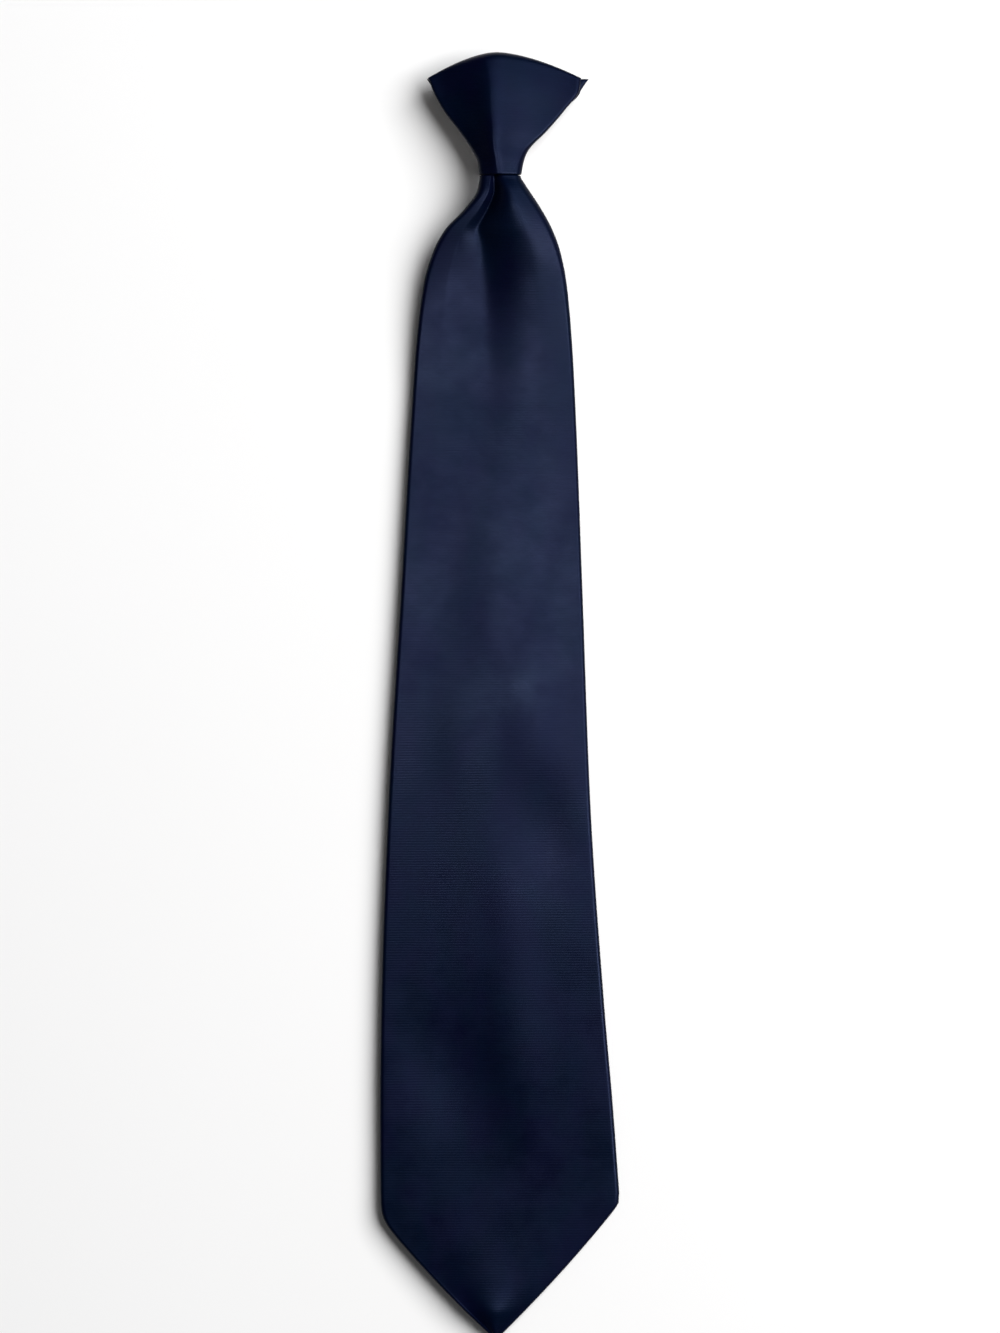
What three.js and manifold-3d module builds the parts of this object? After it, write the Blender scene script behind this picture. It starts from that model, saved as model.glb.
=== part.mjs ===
// A clip-on necktie lying face up on a flat surface: a hollow folded blade, a pre-tied knot that the
// blade's gathered neck runs up into, the fan-shaped wing panel behind the knot, whose two points show
// at the knot's upper corners, and the steel hook that goes over a shirt's collar band.
// Millimetres, +Z up. +Y runs from the blade's point to the knot, and the origin lies on the surface
// under the middle of the tie.
import * as THREE from "three";
import { mergeVertices } from "three/addons/utils/BufferGeometryUtils.js";
import Module from "manifold-3d";

const wasm = await Module();
wasm.setup();

// Overall sizes
const TIE_LENGTH = 457; // crown of the knot to the point of the blade
const BLADE_WIDTH = 85; // at the widest, just above the point
const POINT_LENGTH_LEFT = 42.5; // from the left shoulder down to the point
const POINT_LENGTH_RIGHT = 48; // from the right shoulder, which stands a little higher
const POINT_BOW_LEFT = 1.3; // how far the point's left side bulges over a straight line
const POINT_BOW_RIGHT = 0.8;
const POINT_OFFSET = -1.3; // the point lies this far right of the middle
const POINT_BLUNTNESS = 1.6; // width of the cloth left at the very point

// Cloth
const BLADE_WALL = 1.1; // one layer of shell fabric with its interlining
const BLADE_EDGE = 3.2; // height of the blade's rolled side folds
const BLADE_DOME = 1.8; // how much the middle of the blade swells over its edges
const SEAM_GAP = 0.8; // between the two flaps that meet down the back
const SEAM_END = 30; // the back seam is closed this far above the point
const DIMPLE_DEPTH = 2.4; // floor of the dimple below the side folds
const LOBE_HEIGHT = 2.2; // lobes beside the dimple, above the side folds

// Knot
const KNOT_LENGTH = 44.8; // crown to mouth
const KNOT_WIDTH = 54.4; // corner to corner
const KNOT_LEAN = 1.8; // the corners stand this far right of the mouth
const CROWN_RISE = 9.2; // crown above the corners
const KNOT_DEPTH = 12; // at the crease, back to front
const KNOT_EDGE = 3.4; // height of the rolled side edges at the corners
const KNOT_WALL = 1.2;
const MOUTH_WIDTH = 14;
const MOUTH_EDGE = 8; // height of the rolled sides at the mouth
const CROWN_ROLL = 4.5; // radius over which the crown folds to the back
const NECK_TUCK = 22; // length of gathered blade inside the knot
const NECK_FLARE = 1.1; // the blade reaches its own width this far below the mouth

// Wing panel
const PANEL_THICKNESS = 1.6;
const PANEL_INSET = 0.9; // inside the knot's sides
const WING_REACH_LEFT = 1.5; // point beyond the knot's left corner
const WING_REACH_RIGHT = 2.1;
const WING_DROP = 0.7; // points below the corners

// Hook
const HOOK_WIDTH = 15;
const HOOK_THICKNESS = 1.2;
const COLLAR_SLOT = 5; // between the two legs, for a folded collar band
const PLATE_LENGTH = 22; // upper leg, under the panel
const PRONG_LENGTH = 28; // lower leg, which goes inside the collar
const PRONG_CORNER = 4; // radius of the prong's corners
const HOOK_SETBACK = 12; // bend below the knot's crown

// Clearances between pieces that touch
const SEAT_GAP = 0.3;

// Heights and levels that follow from the sizes
const HOOK_HEIGHT = 2 * HOOK_THICKNESS + COLLAR_SLOT;
const PANEL_BOTTOM = HOOK_HEIGHT + SEAT_GAP;
const KNOT_BACK = PANEL_BOTTOM + PANEL_THICKNESS + SEAT_GAP;
const NECK_BACK = KNOT_BACK + KNOT_WALL + SEAT_GAP;
const CROWN_Y = TIE_LENGTH / 2;
const CORNER_Y = CROWN_Y - CROWN_RISE;
const MOUTH_Y = CROWN_Y - KNOT_LENGTH;
const POINT_Y = -TIE_LENGTH / 2;
const SHOULDER_DROP = TIE_LENGTH - KNOT_LENGTH - POINT_LENGTH_RIGHT;
const NECK_WIDTH = MOUTH_WIDTH - 2 * (KNOT_WALL + SEAT_GAP);
const NECK_EDGE = MOUTH_EDGE - 2 * (KNOT_WALL + SEAT_GAP);

// The blade from the mouth (down 0) to its right shoulder (down 1). left and right are the sides as
// shares of BLADE_WIDTH, edge is the fold's height as a share of BLADE_EDGE, dome the swell as a share
// of BLADE_DOME, crease how far the swell is pressed into a roof, and lift the height of the back above
// the surface as a share of its height in the mouth.
const BLADE_ROWS = [
  { down: 0.0, left: -0.082, right: 0.083, edge: 1.7, dome: 0.0, crease: 0, lift: 1.0 },
  { down: 0.012, left: -0.092, right: 0.113, edge: 1.75, dome: 0.0, crease: 0, lift: 0.98 },
  { down: 0.03, left: -0.143, right: 0.162, edge: 1.65, dome: 0.1, crease: 0, lift: 0.9 },
  { down: 0.05, left: -0.222, right: 0.208, edge: 1.5, dome: 0.2, crease: 0, lift: 0.76 },
  { down: 0.07, left: -0.272, right: 0.242, edge: 1.35, dome: 0.35, crease: 0, lift: 0.6 },
  { down: 0.1, left: -0.315, right: 0.271, edge: 1.2, dome: 0.55, crease: 0, lift: 0.38 },
  { down: 0.16, left: -0.348, right: 0.293, edge: 1.05, dome: 0.8, crease: 0.1, lift: 0.1 },
  { down: 0.22, left: -0.366, right: 0.307, edge: 1.0, dome: 0.9, crease: 0.5, lift: 0.0 },
  { down: 0.41, left: -0.414, right: 0.336, edge: 1.0, dome: 1.0, crease: 1.0, lift: 0.0 },
  { down: 0.61, left: -0.465, right: 0.37, edge: 1.0, dome: 0.9, crease: 0.3, lift: 0.0 },
  { down: 0.81, left: -0.495, right: 0.429, edge: 1.0, dome: 0.8, crease: 0, lift: 0.0 },
  { down: 0.905, left: -0.5, right: 0.465, edge: 1.0, dome: 0.8, crease: 0, lift: 0.0 },
  { down: 1.0, left: -0.498, right: 0.5, edge: 1.0, dome: 0.7, crease: 0, lift: 0.0 },
];

// The dimple under the knot. floor, left and right say where its floor and its two lobes run, as shares
// of the way across the blade, and deep and high are shares of DIMPLE_DEPTH and LOBE_HEIGHT.
const DIMPLE_ROWS = [
  { down: 0.0, floor: 0.29, left: 0.12, right: 0.78, deep: 0.9, high: 0.0 },
  { down: 0.012, floor: 0.3, left: 0.12, right: 0.76, deep: 1.0, high: 0.55 },
  { down: 0.03, floor: 0.35, left: 0.15, right: 0.73, deep: 1.0, high: 0.9 },
  { down: 0.055, floor: 0.44, left: 0.23, right: 0.78, deep: 0.95, high: 1.0 },
  { down: 0.1, floor: 0.51, left: 0.3, right: 0.82, deep: 0.7, high: 0.6 },
  { down: 0.15, floor: 0.56, left: 0.3, right: 0.85, deep: 0.45, high: 0.25 },
  { down: 0.22, floor: 0.58, left: 0.3, right: 0.85, deep: 0.3, high: 0.05 },
  { down: 0.32, floor: 0.58, left: 0.3, right: 0.85, deep: 0.0, high: 0.0 },
];

// Soft swells and dents of the flat part. down and across place the middle, long and wide are half
// sizes as shares of SHOULDER_DROP and BLADE_WIDTH, and rise is a share of BLADE_DOME.
const SWELLS = [
  { down: 0.44, across: 0.88, long: 0.07, wide: 0.12, rise: 0.25 },
  { down: 0.6, across: 0.86, long: 0.05, wide: 0.1, rise: -0.3 },
  { down: 0.84, across: 0.62, long: 0.075, wide: 0.13, rise: 0.5 },
  { down: 0.87, across: 0.22, long: 0.09, wide: 0.13, rise: -0.3 },
  { down: 0.99, across: 0.6, long: 0.06, wide: 0.16, rise: -0.35 },
];

// The knot from its corners (down 0) to its mouth (down 1). left and right say how much of the corner's
// reach beyond the mouth is left on each side, and crease lies that share of the way across. depth is
// the height of the crease as a share of KNOT_DEPTH, and mouth how far the sides have rounded to the
// section of the mouth.
const KNOT_ROWS = [
  { down: 0.0, left: 1.0, right: 1.0, crease: 0.39, depth: 0.92, mouth: 0.0 },
  { down: 0.13, left: 0.91, right: 0.96, crease: 0.385, depth: 0.98, mouth: 0.05 },
  { down: 0.33, left: 0.7, right: 0.68, crease: 0.38, depth: 1.0, mouth: 0.15 },
  { down: 0.53, left: 0.4, right: 0.39, crease: 0.37, depth: 0.98, mouth: 0.4 },
  { down: 0.73, left: 0.14, right: 0.1, crease: 0.36, depth: 0.92, mouth: 0.8 },
  { down: 0.83, left: 0.045, right: 0.045, crease: 0.36, depth: 0.87, mouth: 0.95 },
  { down: 1.0, left: 0.0, right: 0.0, crease: 0.36, depth: 0.83, mouth: 1.0 },
];

// Facets: steps of the mesh along and across each form
const ROLL_STEPS = 3; // round each side fold
const BLADE_STEPS = { across: 16, along: 32, point: 7, neck: 3 };
const KNOT_STEPS = { across: 16, along: 16 };
const HOLLOW_STEPS = { across: 10, along: 20 };
const STATION_POWER = 1.7; // crowds the blade's rows towards the knot
const SLOPE_STEP = 0.02; // share of the width over which a slope is taken

const HALF_TURN = Math.PI;
const QUARTER_TURN = Math.PI / 2;
const lerp = THREE.MathUtils.lerp;
const smoothstep = THREE.MathUtils.smoothstep;

// A smooth curve through one column of a table, held at its ends.
function column(rows, name) {
  const downs = rows.map((row) => row.down);
  const values = rows.map((row) => row[name]);
  const curve = new THREE.CubicInterpolant(downs, values, 1);
  return (down) => curve.evaluate(down)[0];
}

function columns(rows) {
  const names = Object.keys(rows[0]).filter((name) => name !== "down");
  return Object.fromEntries(names.map((name) => [name, column(rows, name)]));
}

const blade = columns(BLADE_ROWS);
const dimple = columns(DIMPLE_ROWS);
const knot = columns(KNOT_ROWS);

// A closed skin over rows that each hold a front line and a back line of points, both running from left
// to right. Rows run from the crown end to the point end. Where the two lines meet they share a point.
function loft(rows) {
  const corners = [];
  const triangle = (a, b, c) => {
    const flat = a.distanceTo(b) < 1e-4 || b.distanceTo(c) < 1e-4 || c.distanceTo(a) < 1e-4;
    if (!flat) corners.push(...a, ...b, ...c);
  };
  const quad = (a, b, c, d) => {
    triangle(a, b, c);
    triangle(a, c, d);
  };
  const last = rows.length - 1;
  const right = rows[0].front.length - 1;
  for (let i = 0; i < last; i++) {
    const above = rows[i];
    const below = rows[i + 1];
    for (let j = 0; j < right; j++) {
      quad(above.front[j], below.front[j], below.front[j + 1], above.front[j + 1]);
      quad(above.back[j], above.back[j + 1], below.back[j + 1], below.back[j]);
    }
    quad(above.front[0], above.back[0], below.back[0], below.front[0]);
    quad(above.front[right], below.front[right], below.back[right], above.back[right]);
  }
  for (let j = 0; j < right; j++) {
    const top = rows[0];
    const end = rows[last];
    quad(top.front[j], top.front[j + 1], top.back[j + 1], top.back[j]);
    quad(end.front[j], end.back[j], end.back[j + 1], end.front[j + 1]);
  }
  const geometry = new THREE.BufferGeometry();
  geometry.setAttribute("position", new THREE.Float32BufferAttribute(corners, 3));
  return geometry;
}

function solidOf(geometry) {
  const bare = geometry.clone();
  bare.deleteAttribute("normal");
  bare.deleteAttribute("uv");
  const merged = mergeVertices(bare, 1e-4);
  const vertProperties = merged.attributes.position.array;
  const triVerts = new Uint32Array(merged.index.array);
  return new wasm.Manifold(new wasm.Mesh({ numProp: 3, vertProperties, triVerts }));
}

function geometryOf(solid) {
  const mesh = solid.getMesh();
  const geometry = new THREE.BufferGeometry();
  geometry.setAttribute("position", new THREE.BufferAttribute(mesh.vertProperties, 3));
  geometry.setIndex(new THREE.BufferAttribute(mesh.triVerts, 1));
  geometry.computeVertexNormals();
  return geometry;
}

// Height of the blade's back above the surface.
function bladeLift(down) {
  return NECK_BACK * Math.max(0, blade.lift(down));
}

// Where the points of one row stand across a form that is width wide, with a fold of radius roll at
// each side: x from the left edge, raised from 0 at the edge to 1 on the flat, and t from 0 to 1
// between the folds.
function acrossPoints(width, roll, steps) {
  const points = [];
  for (let i = 0; i < ROLL_STEPS; i++) {
    const angle = (i / ROLL_STEPS) * QUARTER_TURN;
    points.push({ x: roll * (1 - Math.cos(angle)), raised: Math.sin(angle), t: 0 });
  }
  for (let i = 0; i <= steps; i++) {
    const t = i / steps;
    points.push({ x: lerp(roll, width - roll, t), raised: 1, t });
  }
  for (let i = ROLL_STEPS - 1; i >= 0; i--) {
    const angle = (i / ROLL_STEPS) * QUARTER_TURN;
    points.push({ x: width - roll * (1 - Math.cos(angle)), raised: Math.sin(angle), t: 1 });
  }
  return points;
}

// Height over the side folds at t across the blade.
function bladeRelief(down, t) {
  const round = 1 - (2 * t - 1) ** 2;
  const roof = 1 - Math.abs(2 * t - 1);
  const swell = BLADE_DOME * blade.dome(down) * lerp(round, roof, blade.crease(down));
  return swell + dimpleRelief(down, t) + swellRelief(down, t);
}

// Two lobes that fall into the floor of the dimple, which is a sharp fold.
function dimpleRelief(down, t) {
  const floor = dimple.floor(down);
  const left = dimple.left(down);
  const right = dimple.right(down);
  const high = LOBE_HEIGHT * dimple.high(down);
  const drop = high + DIMPLE_DEPTH * dimple.deep(down);
  if (t < left) return high * Math.sin((t / left) * QUARTER_TURN);
  if (t > right) return high * Math.sin(((1 - t) / (1 - right)) * QUARTER_TURN);
  const near = t < floor ? (t - left) / (floor - left) : (right - t) / (right - floor);
  return high - drop * (1 - Math.cos(near * QUARTER_TURN));
}

function swellRelief(down, t) {
  const held = Math.sin(t * HALF_TURN);
  const heights = SWELLS.map((swell) => {
    const along = (down - swell.down) / swell.long;
    const over = (t - swell.across) / swell.wide;
    return BLADE_DOME * swell.rise * Math.exp(-(along ** 2) - over ** 2);
  });
  return held * heights.reduce((sum, height) => sum + height, 0);
}

// The sides of the blade at a distance below the mouth, with the shoulders and the point.
function bladeSides(drop) {
  const down = THREE.MathUtils.clamp(drop / SHOULDER_DROP, 0, 1);
  const pointDrop = TIE_LENGTH - KNOT_LENGTH;
  const side = (shoulder, length, end, bow) => {
    const past = Math.max(0, drop - (pointDrop - length)) / length;
    return lerp(shoulder, end, past) + 4 * bow * past * (1 - past);
  };
  const blunt = POINT_BLUNTNESS / 2;
  const left = BLADE_WIDTH * blade.left(down);
  const right = BLADE_WIDTH * blade.right(down);
  return {
    down,
    left: side(left, POINT_LENGTH_LEFT, POINT_OFFSET - blunt, -POINT_BOW_LEFT),
    right: side(right, POINT_LENGTH_RIGHT, POINT_OFFSET + blunt, POINT_BOW_RIGHT),
  };
}

// Inside the knot the blade is a narrow gathered neck, which opens out just below the mouth.
function neckShare(drop) {
  return 1 - smoothstep(drop, SEAT_GAP, NECK_FLARE);
}

// One row of the blade, drawn in by inset on every side.
function bladeRow(drop, inset, steps) {
  const sides = bladeSides(drop);
  const step = SLOPE_STEP * POINT_LENGTH_RIGHT;
  const next = bladeSides(drop + step);
  const neck = neckShare(drop);
  const slant = (name) => Math.hypot(1, (next[name] - sides[name]) / step);
  const slantLeft = lerp(slant("left"), 1, neck);
  const slantRight = lerp(slant("right"), 1, neck);
  const left = lerp(sides.left, -NECK_WIDTH / 2, neck) + inset * slantLeft;
  const right = lerp(sides.right, NECK_WIDTH / 2, neck) - inset * slantRight;
  const edge = lerp(BLADE_EDGE * blade.edge(sides.down), NECK_EDGE, neck) - 2 * inset;
  const back = bladeLift(sides.down) + inset;
  const width = right - left;
  const roll = Math.min(edge / 2, width / 3);
  const narrowing = Math.min(1, width / (BLADE_WIDTH / 4));
  const held = drop < SHOULDER_DROP ? 1 : narrowing;
  const y = MOUTH_Y - drop;
  const middle = back + edge / 2;
  const points = acrossPoints(width, roll, steps);
  const flat = width - 2 * roll;
  return {
    front: points.map(({ x, raised, t }) => {
      const relief = held * bladeRelief(sides.down, t);
      const aside = held * bladeRelief(sides.down, t + SLOPE_STEP);
      const sunk = inset * (Math.hypot(1, (aside - relief) / (SLOPE_STEP * flat)) - 1);
      const up = Math.max(edge / 2 + relief - sunk, -edge / 3);
      return new THREE.Vector3(left + x, y, middle + raised * up);
    }),
    back: points.map(({ x, raised }) => {
      return new THREE.Vector3(left + x, y, middle - (raised * edge) / 2);
    }),
  };
}

// Distances below the mouth of the blade's rows between two levels, crowded towards the knot.
function bladeDrops(along, point, neck, tuck, end) {
  const drops = [];
  for (let i = 0; i < neck; i++) drops.push(lerp(-tuck, SEAT_GAP, i / neck));
  for (let i = 0; i < along; i++) {
    drops.push(SEAT_GAP + (SHOULDER_DROP - SEAT_GAP) * (i / along) ** STATION_POWER);
  }
  const lowShoulder = TIE_LENGTH - KNOT_LENGTH - POINT_LENGTH_LEFT;
  drops.push(SHOULDER_DROP, lowShoulder);
  for (let i = 1; i <= point; i++) drops.push(lerp(lowShoulder, end, i / point));
  return drops.sort((a, b) => a - b);
}

// The blade is an envelope of cloth: its flaps meet down the middle of the back.
function makeBlade() {
  const pointDrop = TIE_LENGTH - KNOT_LENGTH;
  const { across, along, point, neck } = BLADE_STEPS;
  const outerDrops = bladeDrops(along, point, neck, NECK_TUCK, pointDrop);
  const outer = solidOf(loft(outerDrops.map((drop) => bladeRow(drop, 0, across))));
  const hollowEnd = pointDrop - SEAM_END / 3;
  const innerDrops = bladeDrops(HOLLOW_STEPS.along, 3, 2, NECK_TUCK + 1, hollowEnd);
  const inner = solidOf(
    loft(innerDrops.map((drop) => bladeRow(drop, BLADE_WALL, HOLLOW_STEPS.across))),
  );
  const seam = solidOf(loft(innerDrops.filter((drop) => drop < pointDrop - SEAM_END).map(seamRow)));
  return geometryOf(outer.subtract(inner).subtract(seam));
}

// A thin cut along the middle of the back, through one layer of cloth.
function seamRow(drop) {
  const sides = bladeSides(drop);
  const neck = neckShare(drop);
  const middle = lerp((sides.left + sides.right) / 2, 0, neck);
  const back = bladeLift(sides.down);
  const line = (z) =>
    [-0.5, 0.5].map((side) => new THREE.Vector3(middle + side * SEAM_GAP, MOUTH_Y - drop, z));
  return { front: line(back + BLADE_WALL + SEAT_GAP), back: line(back - BLADE_WALL) };
}

// The sides of the knot at a share of the way from its corners to its mouth.
function knotSides(down) {
  const reach = (KNOT_WIDTH - MOUTH_WIDTH) / 2;
  return {
    left: -MOUTH_WIDTH / 2 - (reach - KNOT_LEAN) * knot.left(down),
    right: MOUTH_WIDTH / 2 + (reach + KNOT_LEAN) * knot.right(down),
  };
}

// How far the crown stands over the corners at a share of the way across.
const CROWN_POWER = 1.6; // between a roof and a round arch
function crownRise(across) {
  const peak = 0.45;
  const off = across < peak ? 1 - across / peak : (across - peak) / (1 - peak);
  return CROWN_RISE * (1 - off ** CROWN_POWER);
}

// Height of the knot's front over its side folds at t across: a hollow facet on the left of the
// crease and a rounded one on the right.
const LEFT_FACET_POWER = 1.5;
const RIGHT_FACET_POWER = 0.7;
function knotRelief(down, t, edge) {
  const crease = knot.crease(down);
  const left = Math.min(1, t / crease) ** LEFT_FACET_POWER;
  const right = Math.min(1, (1 - t) / (1 - crease)) ** RIGHT_FACET_POWER;
  const facet = Math.min(left, right);
  return (KNOT_DEPTH * knot.depth(down) - edge) * facet;
}

// One row of the knot. turned is 0 at the fold over the crown and 1 where the front is in full height,
// and down runs from there to the mouth. past is how far the row's last one reaches below the mouth.
function knotRow(down, turned, inset, steps, past) {
  const drop = CORNER_Y - MOUTH_Y;
  const rise = Math.sin(turned * QUARTER_TURN);
  const fold = 1 - Math.cos(turned * QUARTER_TURN);
  const level = (top, radius) => top - inset - radius * fold - down * (drop - inset + past - radius);
  const cornerRadius = KNOT_EDGE / 2 - inset;
  const share = Math.min(1, (CORNER_Y - level(CORNER_Y, cornerRadius)) / drop);
  const sides = knotSides(share);
  const next = knotSides(share + SLOPE_STEP);
  const slant = (name) => Math.hypot(1, (next[name] - sides[name]) / (SLOPE_STEP * drop));
  const left = sides.left + inset * slant("left");
  const right = sides.right - inset * slant("right");
  const fullEdge = lerp(KNOT_EDGE, MOUTH_EDGE, knot.mouth(share));
  const edge = fullEdge - 2 * inset;
  const roll = Math.min(edge / 2, (right - left) / 3);
  const middle = KNOT_BACK + inset + edge / 2;
  const points = acrossPoints(right - left, roll, steps).map(({ x, raised, t }) => {
    const across = x / (right - left);
    const relief = knotRelief(share, t, fullEdge);
    const radius = Math.min(CROWN_ROLL, (edge + relief) / 2);
    const y = level(CORNER_Y + crownRise(across) * (1 - down) ** 1.5, radius);
    const up = middle + rise * raised * (edge / 2 + relief);
    const under = middle - (rise * raised * edge) / 2;
    return { x: left + x, y, up, under };
  });
  return {
    front: points.map(({ x, y, up }) => new THREE.Vector3(x, y, up)),
    back: points.map(({ x, y, under }) => new THREE.Vector3(x, y, under)),
  };
}

function knotForm(inset, steps, past) {
  const rows = [];
  for (let i = 0; i < ROLL_STEPS; i++) rows.push(knotRow(0, i / ROLL_STEPS, inset, steps.across, past));
  for (let i = 0; i <= steps.along; i++) rows.push(knotRow(i / steps.along, 1, inset, steps.across, past));
  return solidOf(loft(rows));
}

// The knot is a wrap of cloth round a hollow that is open at the mouth.
function makeKnot() {
  const hollow = { across: HOLLOW_STEPS.across, along: KNOT_STEPS.along };
  return geometryOf(knotForm(0, KNOT_STEPS, 0).subtract(knotForm(KNOT_WALL, hollow, SEAT_GAP)));
}

// A fan that follows the knot's sides and runs out into a point past each upper corner.
const PANEL_END = 0.85; // it stops this share of the way down to the mouth
function makeWingPanel() {
  const corners = knotSides(0);
  const level = (down) => lerp(CORNER_Y, MOUTH_Y, down);
  const downs = [0.2, 0.35, 0.5, 0.65, PANEL_END];
  const side = (name, inset) =>
    downs.map((down) => new THREE.Vector2(knotSides(down)[name] + inset, level(down)));
  const wingInset = KNOT_WIDTH / 10;
  const outline = [
    new THREE.Vector2(corners.left + wingInset, CORNER_Y),
    new THREE.Vector2(corners.left - WING_REACH_LEFT, CORNER_Y - WING_DROP),
    ...side("left", PANEL_INSET),
    ...side("right", -PANEL_INSET).reverse(),
    new THREE.Vector2(corners.right + WING_REACH_RIGHT, CORNER_Y - WING_DROP),
    new THREE.Vector2(corners.right - wingInset, CORNER_Y),
  ];
  const plate = new THREE.ExtrudeGeometry(new THREE.Shape(outline), {
    depth: PANEL_THICKNESS,
    bevelEnabled: false,
  });
  return geometryOf(solidOf(plate));
}

// A strip bent into a hairpin, seen from the side: plate, bend and prong.
function hookProfile() {
  const outer = HOOK_HEIGHT / 2;
  const inner = COLLAR_SLOT / 2;
  const profile = new THREE.Shape();
  profile.moveTo(-PLATE_LENGTH, HOOK_HEIGHT);
  profile.lineTo(-PLATE_LENGTH, HOOK_HEIGHT - HOOK_THICKNESS);
  profile.lineTo(0, HOOK_HEIGHT - HOOK_THICKNESS);
  profile.absarc(0, outer, inner, QUARTER_TURN, -QUARTER_TURN, true);
  profile.lineTo(-PRONG_LENGTH, HOOK_THICKNESS);
  profile.lineTo(-PRONG_LENGTH, 0);
  profile.lineTo(0, 0);
  profile.absarc(0, outer, outer, -QUARTER_TURN, QUARTER_TURN, false);
  return profile;
}

// The strip's outline from above, with round corners at the free ends.
function hookOutline() {
  const half = HOOK_WIDTH / 2;
  const end = HOOK_HEIGHT;
  const outline = new THREE.Shape();
  outline.moveTo(-half, end);
  outline.lineTo(-half, -PRONG_LENGTH + PRONG_CORNER);
  outline.absarc(PRONG_CORNER - half, PRONG_CORNER - PRONG_LENGTH, PRONG_CORNER, HALF_TURN, 3 * QUARTER_TURN);
  outline.absarc(half - PRONG_CORNER, PRONG_CORNER - PRONG_LENGTH, PRONG_CORNER, 3 * QUARTER_TURN, 2 * HALF_TURN);
  outline.lineTo(half, end);
  return outline;
}

function makeHook() {
  const strip = new THREE.ExtrudeGeometry(hookProfile(), {
    depth: HOOK_WIDTH,
    curveSegments: 12,
    bevelEnabled: false,
  });
  // The profile is drawn in Y and Z, and the strip's width runs along X.
  const turn = new THREE.Matrix4().makeBasis(
    new THREE.Vector3(0, 1, 0),
    new THREE.Vector3(0, 0, 1),
    new THREE.Vector3(1, 0, 0),
  );
  strip.applyMatrix4(turn).translate(-HOOK_WIDTH / 2, 0, 0);
  const outline = new THREE.ExtrudeGeometry(hookOutline(), {
    depth: HOOK_HEIGHT + 2,
    curveSegments: 6,
    bevelEnabled: false,
  });
  outline.translate(0, 0, -1);
  return geometryOf(solidOf(strip).intersect(solidOf(outline)));
}

const satin = new THREE.MeshStandardMaterial({ color: 0x1b2340, roughness: 0.55, metalness: 0 });
const steel = new THREE.MeshStandardMaterial({ color: 0xb4b7bc, roughness: 0.3, metalness: 1 });

function piece(name, geometry, material) {
  const mesh = new THREE.Mesh(geometry, material);
  mesh.name = name;
  return mesh;
}

const tie = new THREE.Group();
tie.add(piece("blade", makeBlade(), satin));
tie.add(piece("knot", makeKnot(), satin));

const panel = piece("wing_panel", makeWingPanel(), satin);
panel.position.z = PANEL_BOTTOM;
tie.add(panel);

const hook = piece("collar_hook", makeHook(), steel);
hook.position.y = CROWN_Y - HOOK_SETBACK - HOOK_HEIGHT / 2;
tie.add(hook);

export default tie;
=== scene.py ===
"""Looks of the clip-on tie: its cloth, knot, wing panel and hook, the floor, the light and the camera."""

import math

import bmesh
import bpy
import numpy as np
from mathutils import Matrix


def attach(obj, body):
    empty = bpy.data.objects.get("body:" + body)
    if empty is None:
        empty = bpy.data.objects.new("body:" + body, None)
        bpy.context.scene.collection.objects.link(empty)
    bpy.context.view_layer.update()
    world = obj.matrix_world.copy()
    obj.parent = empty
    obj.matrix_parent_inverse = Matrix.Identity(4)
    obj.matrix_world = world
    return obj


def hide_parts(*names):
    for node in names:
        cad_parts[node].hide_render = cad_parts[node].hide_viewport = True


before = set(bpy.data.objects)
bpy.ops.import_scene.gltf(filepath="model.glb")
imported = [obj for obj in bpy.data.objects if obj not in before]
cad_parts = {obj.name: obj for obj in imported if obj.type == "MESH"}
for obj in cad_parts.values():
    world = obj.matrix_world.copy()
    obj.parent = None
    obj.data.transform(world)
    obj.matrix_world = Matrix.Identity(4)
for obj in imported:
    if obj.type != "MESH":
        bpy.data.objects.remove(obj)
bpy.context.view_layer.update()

MM = 0.001  # sizes of the tie are in millimetres, and its meshes are built in metres

# Sizes of the tie
TIE_LENGTH = 457
BLADE_WIDTH = 85
POINT_LENGTH_LEFT = 42.5
POINT_LENGTH_RIGHT = 48
POINT_BOW_LEFT = 1.3
POINT_BOW_RIGHT = 1.4
POINT_OFFSET = -1.3
POINT_BLUNTNESS = 1.6
SHOULDER_EASE_LEFT = 2  # the shoulders above the point are rounded by about this much
SHOULDER_EASE_RIGHT = 0.9
BLADE_EDGE = 3.2
BLADE_DOME = 1.8
KNOT_LENGTH = 44.8
KNOT_WIDTH = 54.4
KNOT_LEAN = 1.8
CROWN_RISE = 9.2
KNOT_DEPTH = 12
KNOT_EDGE = 3.4
KNOT_WALL = 1.2
MOUTH_WIDTH = 14
MOUTH_EDGE = 8
CROWN_ROLL = 3.4
NECK_TUCK = 22
NECK_FLARE = 0.8
PANEL_THICKNESS = 1.6
PANEL_INSET = 0.9
BEAK = 0.25
WING_REACH_LEFT = 0.3
WING_REACH_RIGHT = 2.7
WING_DROP = 0.15
HOOK_WIDTH = 15
HOOK_THICKNESS = 1.2
HOOK_EASE = 0.25
COLLAR_SLOT = 5
PLATE_LENGTH = 22
PRONG_LENGTH = 28
PRONG_CORNER = 4
HOOK_SETBACK = 12
SEAT_GAP = 0.3

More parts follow.
